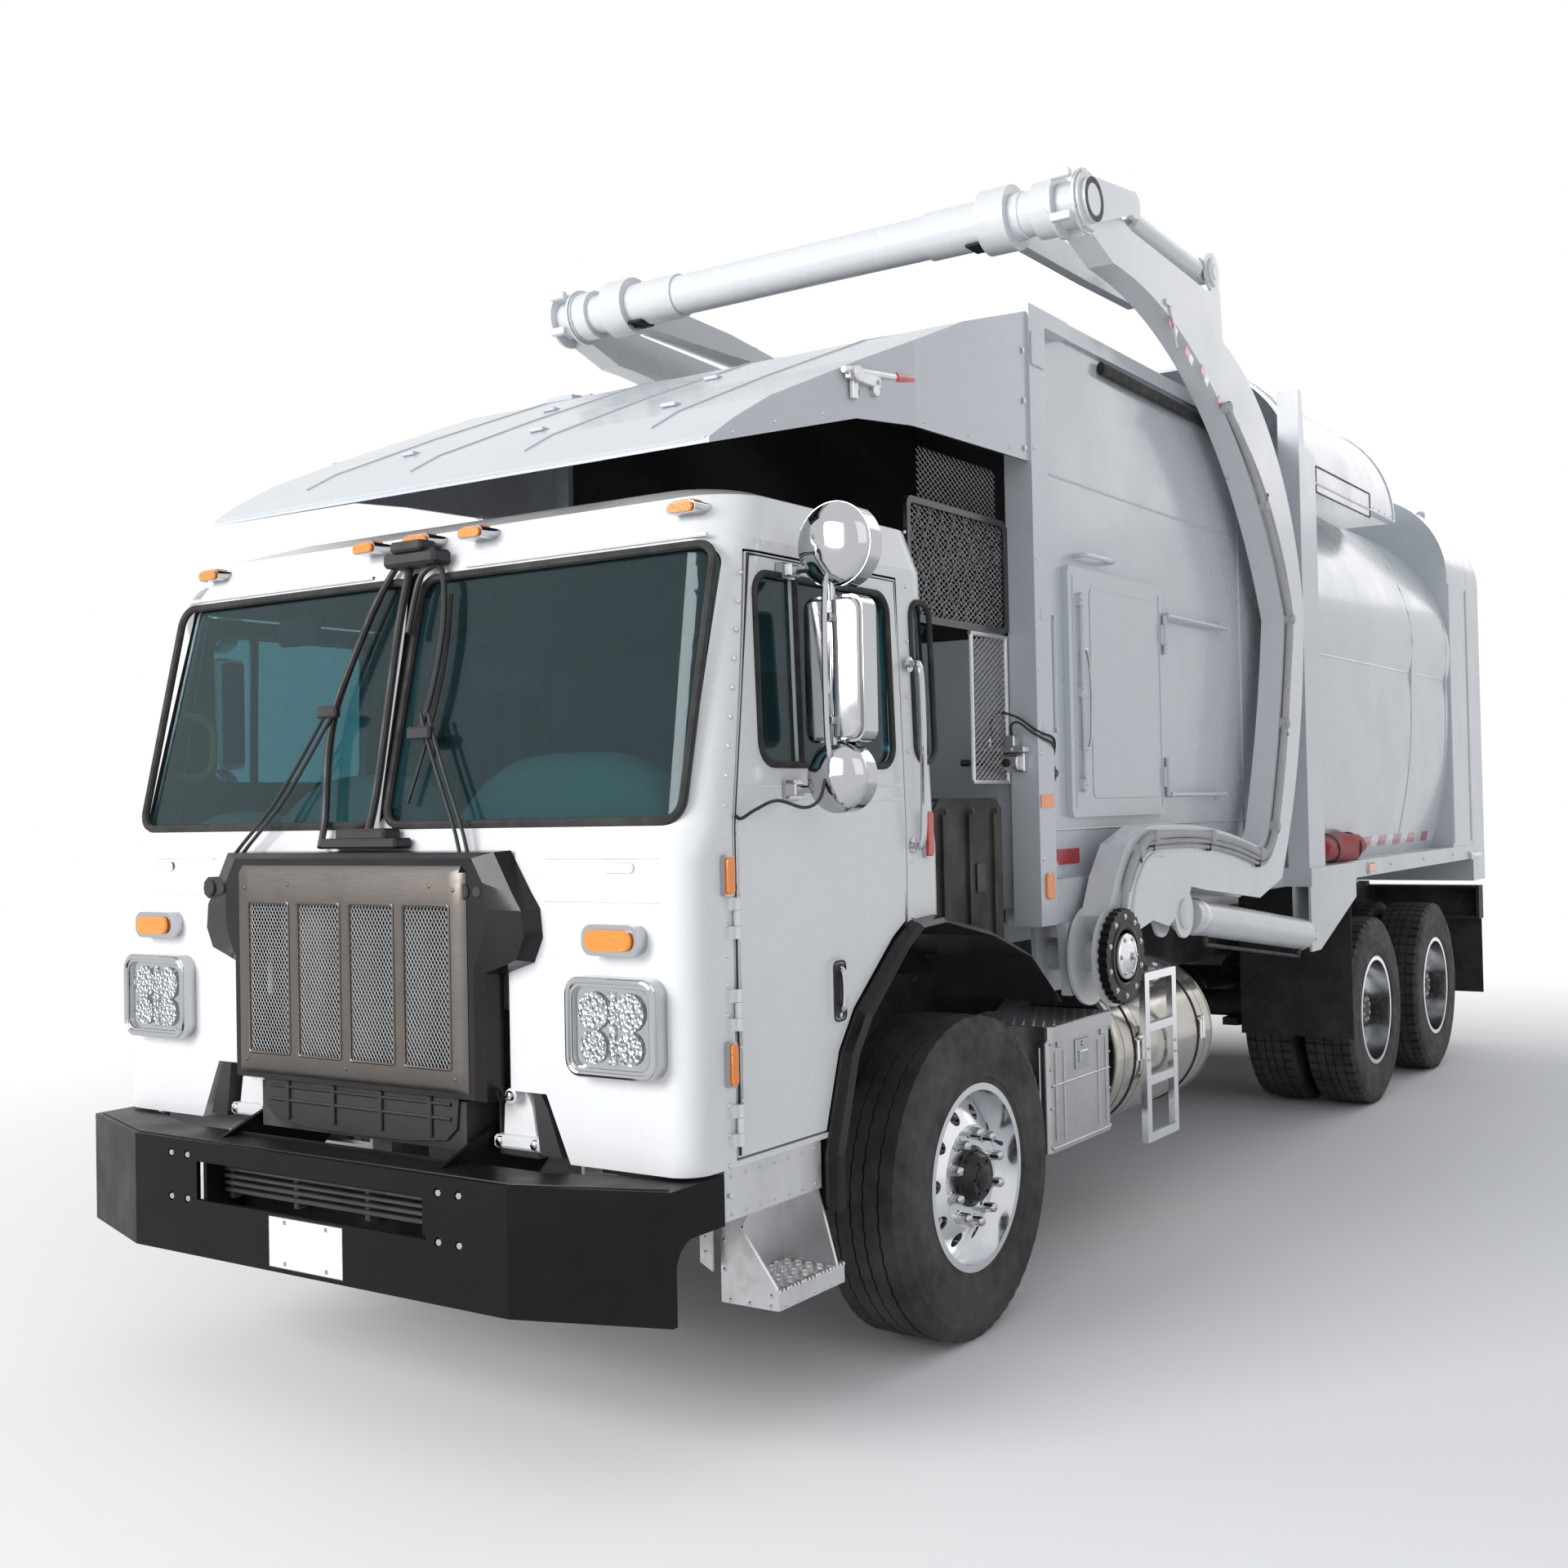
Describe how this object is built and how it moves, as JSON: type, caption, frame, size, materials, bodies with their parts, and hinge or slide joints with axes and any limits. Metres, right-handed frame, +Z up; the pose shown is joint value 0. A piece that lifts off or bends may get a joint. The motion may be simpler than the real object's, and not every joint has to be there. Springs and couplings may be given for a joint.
{
  "type": "garbage truck",
  "caption": "White cab-over refuse truck with a front-loading packer body: lift arms with a fork frame, canopy over the cab, tailgate, twin rear axles and polished wheels.",
  "frame": {"origin": "Centre of the bounding box in plan, at the ground.", "axes": "+Z up, the front of the truck faces -Y, +X is the left (driver) side."},
  "size_m": [2.922, 9.23, 4.0938],
  "materials": {
    "white_cab": "gloss",
    "white_body": "gloss",
    "black_steel": "satin",
    "black_gloss": "gloss",
    "grey_plastic": "matte",
    "seat_cloth": "matte",
    "tinted_glass": "gloss",
    "lamp_lens": "gloss",
    "stainless": "satin",
    "chrome_trim": "gloss",
    "bright_rod": "gloss",
    "polished_aluminium": "gloss",
    "engine_iron": "matte",
    "tyre_rubber": "matte",
    "flap_rubber": "matte",
    "hose_rubber": "matte"
  },
  "bodies": {
    "chassis": {"arm_brackets": "white_body", "body_floor": "white_body", "body_shell": "white_body", "bumper": "black_steel", "cab_floor": "black_steel", "cab_front": "white_cab", "cab_glass": "tinted_glass", "cab_roof": "white_cab", "cab_sides": "white_cab", "cab_steps": "polished_aluminium", "canopy": "white_body", "dashboard": "grey_plastic", "engine_block": "engine_iron", "engine_enclosure": "black_steel", "frame_rails": "black_steel", "front_axle": "black_steel", "front_fenders": "black_gloss", "fuel_tanks": "polished_aluminium", "grille_panel": "stainless", "grille_surround": "black_gloss", "hopper_front": "white_body", "hopper_hood": "white_body", "hopper_sides": "white_body", "lamps": "lamp_lens", "mud_flaps": "flap_rubber", "radiator": "black_steel", "rear_axles": "black_steel", "seats": "seat_cloth", "suspension": "black_steel", "tool_boxes": "polished_aluminium", "wheel_decks": "white_body"},
    "arms": {"lift_arms": "white_body", "arm_hoses": "hose_rubber"},
    "forks": {"fork_frame": "white_body"},
    "lift_barrel_pair": {"lift_barrels": "white_body"},
    "lift_rod_pair": {"lift_rods": "bright_rod"},
    "fork_barrel_pair": {"fork_barrels": "white_body"},
    "fork_rod_pair": {"fork_rods": "bright_rod"},
    "left_door": {"door_left": "white_cab", "door_glass_left": "tinted_glass", "mirror_left": "chrome_trim"},
    "right_door": {"door_right": "white_cab", "door_glass_right": "tinted_glass", "mirror_right": "chrome_trim"},
    "left_knuckle": {"knuckle_left": "engine_iron"},
    "right_knuckle": {"knuckle_right": "engine_iron"},
    "rear_gate": {"tailgate": "white_body"},
    "side_hatch": {"access_door": "white_body"},
    "front_wheel_left": {"front_tyre_left": "tyre_rubber", "front_rim_left": "polished_aluminium"},
    "front_wheel_right": {"front_tyre_right": "tyre_rubber", "front_rim_right": "polished_aluminium"},
    "drive_wheels_front_left": {"drive_tyres_front_left": "tyre_rubber", "drive_rims_front_left": "polished_aluminium"},
    "drive_wheels_front_right": {"drive_tyres_front_right": "tyre_rubber", "drive_rims_front_right": "polished_aluminium"},
    "drive_wheels_back_left": {"drive_tyres_back_left": "tyre_rubber", "drive_rims_back_left": "polished_aluminium"},
    "drive_wheels_back_right": {"drive_tyres_back_right": "tyre_rubber", "drive_rims_back_right": "polished_aluminium"}
  },
  "joints": [
    {"name": "arm_lift", "type": "hinge", "parent": "chassis", "child": "arms", "pos_m": [0, -1.955, 1.15], "axis": [1, 0, 0], "range_deg": [0, 95]},
    {"name": "fork_tilt", "type": "hinge", "parent": "arms", "child": "forks", "pos_m": [0, -2.049, 3.94], "axis": [1, 0, 0], "range_deg": [0, 95]},
    {"name": "lift_barrel_swing", "type": "hinge", "parent": "chassis", "child": "lift_barrel_pair", "pos_m": [0, 0.485, 1.04], "axis": [1, 0, 0], "range_deg": [-9.9, 0]},
    {"name": "lift_rod_slide", "type": "slide", "parent": "lift_barrel_pair", "child": "lift_rod_pair", "axis": [0, -0.9921, 0.1254], "range_m": [0, 0.98]},
    {"name": "fork_barrel_swing", "type": "hinge", "parent": "arms", "child": "fork_barrel_pair", "pos_m": [0, -0.745, 4.01], "axis": [1, 0, 0], "range_deg": [-10.9, 0]},
    {"name": "fork_rod_slide", "type": "slide", "parent": "fork_barrel_pair", "child": "fork_rod_pair", "axis": [0, -0.9998, 0.0217], "range_m": [0, 0.54]},
    {"name": "left_door_hinge", "type": "hinge", "parent": "chassis", "child": "left_door", "pos_m": [1.202, -4.191, 1.6], "axis": [0, 0, -1], "range_deg": [0, 65]},
    {"name": "right_door_hinge", "type": "hinge", "parent": "chassis", "child": "right_door", "pos_m": [-1.202, -4.191, 1.6], "axis": [0, 0, 1], "range_deg": [0, 65]},
    {"name": "steer_left", "type": "hinge", "parent": "chassis", "child": "left_knuckle", "pos_m": [0.88, -2.935, 0.52], "axis": [0, 0, 1], "range_deg": [-32, 32]},
    {"name": "steer_right", "type": "hinge", "parent": "chassis", "child": "right_knuckle", "pos_m": [-0.88, -2.935, 0.52], "axis": [0, 0, 1], "range_deg": [-32, 32]},
    {"name": "front_left_spin", "type": "hinge", "parent": "left_knuckle", "child": "front_wheel_left", "pos_m": [1.077, -2.935, 0.52], "axis": [1, 0, 0], "continuous": true},
    {"name": "front_right_spin", "type": "hinge", "parent": "right_knuckle", "child": "front_wheel_right", "pos_m": [-1.077, -2.935, 0.52], "axis": [1, 0, 0], "continuous": true},
    {"name": "drive_front_left_spin", "type": "hinge", "parent": "chassis", "child": "drive_wheels_front_left", "pos_m": [0.904, 1.805, 0.52], "axis": [1, 0, 0], "continuous": true},
    {"name": "drive_front_right_spin", "type": "hinge", "parent": "chassis", "child": "drive_wheels_front_right", "pos_m": [-0.904, 1.805, 0.52], "axis": [1, 0, 0], "continuous": true},
    {"name": "drive_back_left_spin", "type": "hinge", "parent": "chassis", "child": "drive_wheels_back_left", "pos_m": [0.904, 3.155, 0.52], "axis": [1, 0, 0], "continuous": true},
    {"name": "drive_back_right_spin", "type": "hinge", "parent": "chassis", "child": "drive_wheels_back_right", "pos_m": [-0.904, 3.155, 0.52], "axis": [1, 0, 0], "continuous": true},
    {"name": "gate_hinge", "type": "hinge", "parent": "chassis", "child": "rear_gate", "pos_m": [0, 4.185, 3.782], "axis": [1, 0, 0], "range_deg": [0, 75]},
    {"name": "hatch_hinge", "type": "hinge", "parent": "chassis", "child": "side_hatch", "pos_m": [1.138, -1.043, 2.14], "axis": [0, 0, 1], "range_deg": [0, 100]}
  ],
  "couplings": [
    {"joint": "lift_barrel_swing", "follows": "arm_lift", "ratio": -0.10302},
    {"joint": "lift_rod_slide", "follows": "arm_lift", "m_per_rad": 0.58859},
    {"joint": "fork_barrel_swing", "follows": "fork_tilt", "ratio": -0.11376},
    {"joint": "fork_rod_slide", "follows": "fork_tilt", "m_per_rad": 0.32512},
    {"joint": "steer_right", "follows": "steer_left", "ratio": 1}
  ]
}
